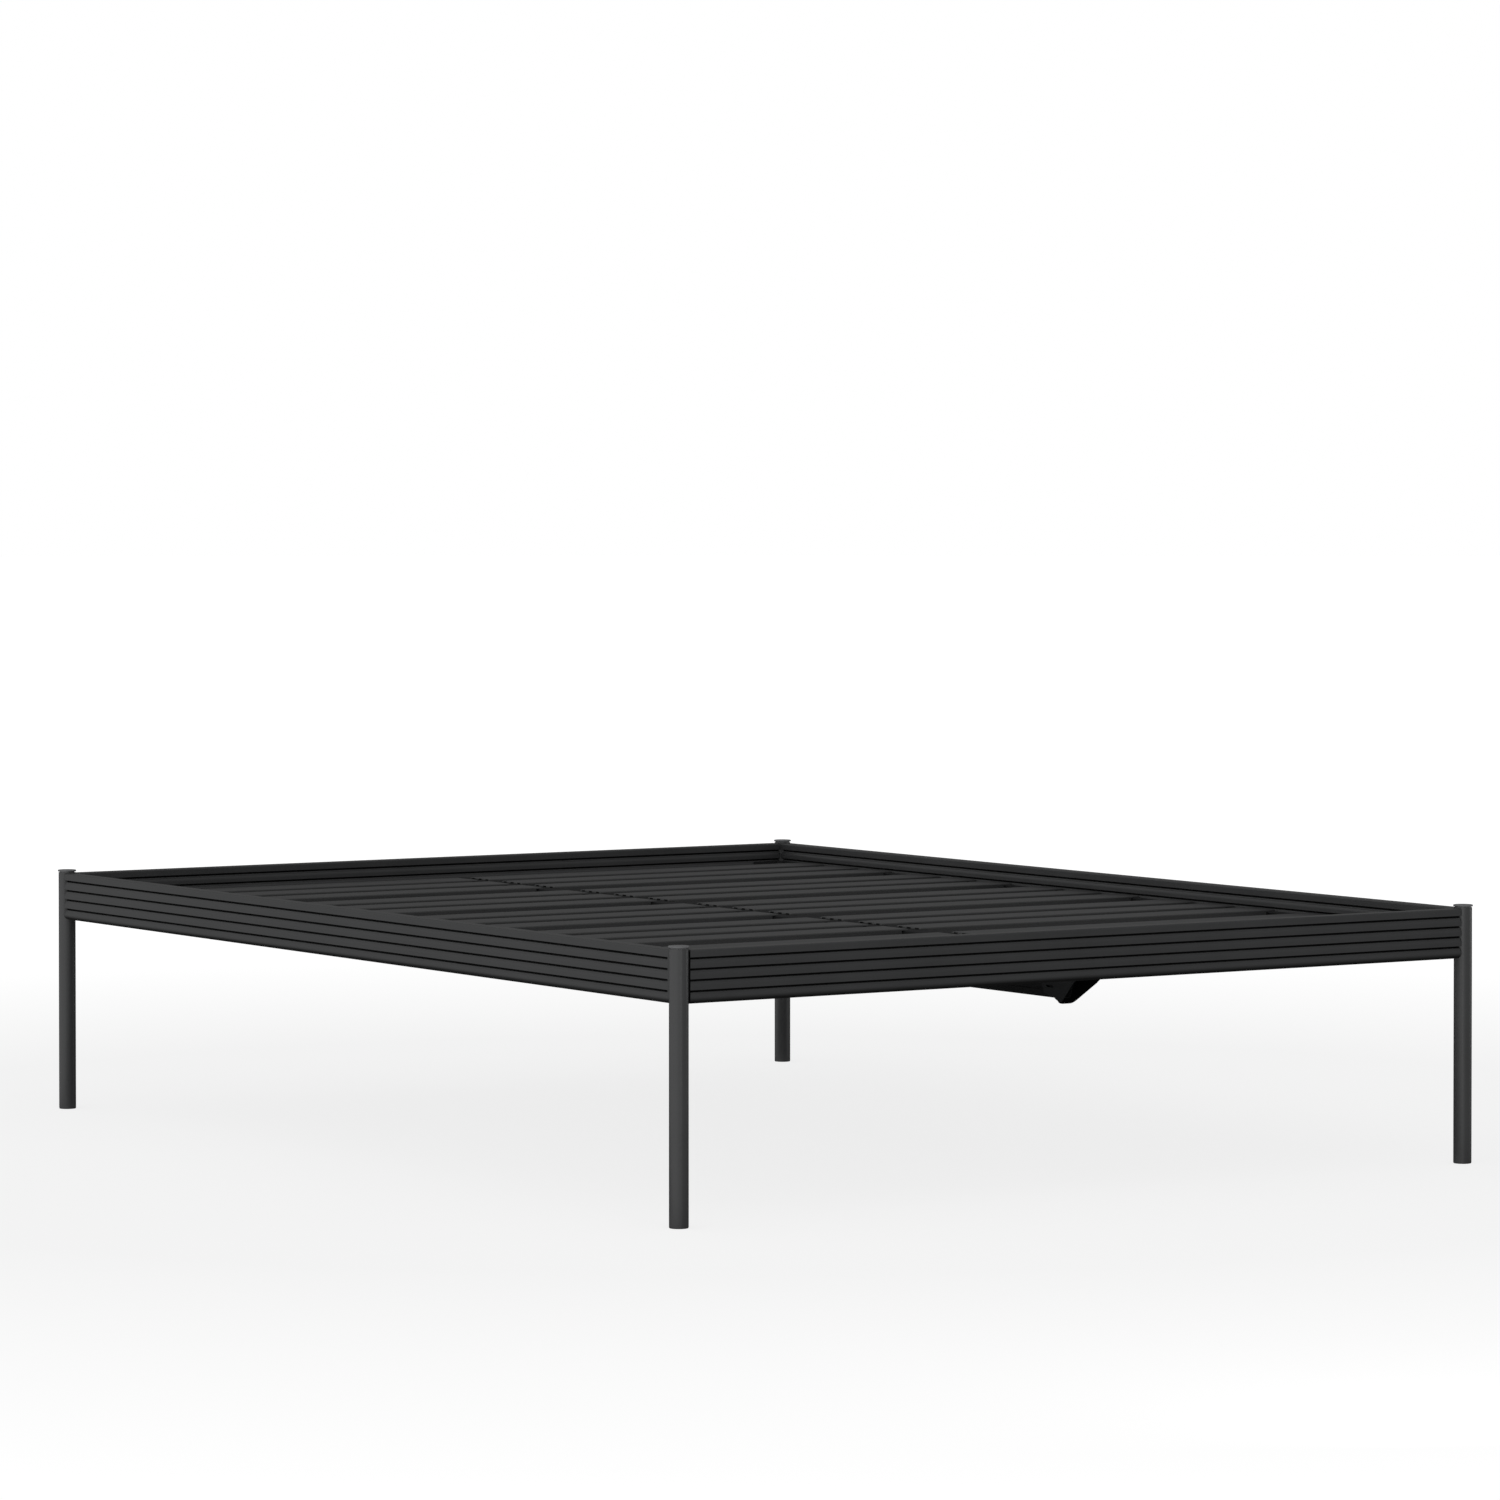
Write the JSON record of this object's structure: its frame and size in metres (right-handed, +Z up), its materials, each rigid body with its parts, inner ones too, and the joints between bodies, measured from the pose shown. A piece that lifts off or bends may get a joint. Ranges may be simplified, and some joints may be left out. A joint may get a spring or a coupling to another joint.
{
  "type": "bed frame",
  "caption": "Low platform bed frame in black powder-coated metal: ribbed rails hung between round legs, folded slats on a centre beam and side ledges, no headboard.",
  "frame": {"origin": "on the floor, under the middle of the bed", "axes": "+Z up, +Y towards the head end, +X towards the right-hand side seen from the foot end"},
  "size_m": [1.5654, 2.0604, 0.427],
  "materials": {
    "rail_coat": "black powder coat, satin, fine texture",
    "leg_coat": "black powder coat, satin, fine texture",
    "slat_coat": "black powder coat, satin, fine texture",
    "beam_coat": "black powder coat, satin, fine texture",
    "bracket_coat": "black powder coat, satin, fine texture",
    "fastener_zinc": "black passivated zinc, satin",
    "cap_plastic": "matte moulded black",
    "glide_plastic": "matte moulded black"
  },
  "bodies": {
    "root": {"leg_foot_left": "leg_coat", "leg_foot_right": "leg_coat", "leg_head_left": "leg_coat", "leg_head_right": "leg_coat", "leg_cap_foot_left": "cap_plastic", "leg_cap_foot_right": "cap_plastic", "leg_cap_head_left": "cap_plastic", "leg_cap_head_right": "cap_plastic", "foot_glide_foot_left": "glide_plastic", "foot_glide_foot_right": "glide_plastic", "foot_glide_head_left": "glide_plastic", "foot_glide_head_right": "glide_plastic", "corner_bracket_foot_left": "bracket_coat", "corner_bracket_foot_right": "bracket_coat", "corner_bracket_head_left": "bracket_coat", "corner_bracket_head_right": "bracket_coat", "side_rail_left": "rail_coat", "side_rail_right": "rail_coat", "foot_rail": "rail_coat", "head_rail": "rail_coat", "rail_end_plates": "rail_coat", "centre_beam": "beam_coat", "beam_hanger_foot": "bracket_coat", "beam_hanger_head": "bracket_coat", "slat_ledge_left": "bracket_coat", "slat_ledge_right": "bracket_coat", "rail_bolts": "fastener_zinc", "leg_bolts": "fastener_zinc", "beam_bolts": "fastener_zinc", "leg_spacers": "fastener_zinc", "slat_left_01": "slat_coat", "slat_left_02": "slat_coat", "slat_left_03": "slat_coat", "slat_left_04": "slat_coat", "slat_left_05": "slat_coat", "slat_left_06": "slat_coat", "slat_left_07": "slat_coat", "slat_left_08": "slat_coat", "slat_left_09": "slat_coat", "slat_left_10": "slat_coat", "slat_left_11": "slat_coat", "slat_left_12": "slat_coat", "slat_left_13": "slat_coat", "slat_left_14": "slat_coat", "slat_left_15": "slat_coat", "slat_right_01": "slat_coat", "slat_right_02": "slat_coat", "slat_right_03": "slat_coat", "slat_right_04": "slat_coat", "slat_right_05": "slat_coat", "slat_right_06": "slat_coat", "slat_right_07": "slat_coat", "slat_right_08": "slat_coat", "slat_right_09": "slat_coat", "slat_right_10": "slat_coat", "slat_right_11": "slat_coat", "slat_right_12": "slat_coat", "slat_right_13": "slat_coat", "slat_right_14": "slat_coat", "slat_right_15": "slat_coat"}
  },
  "joints": []
}
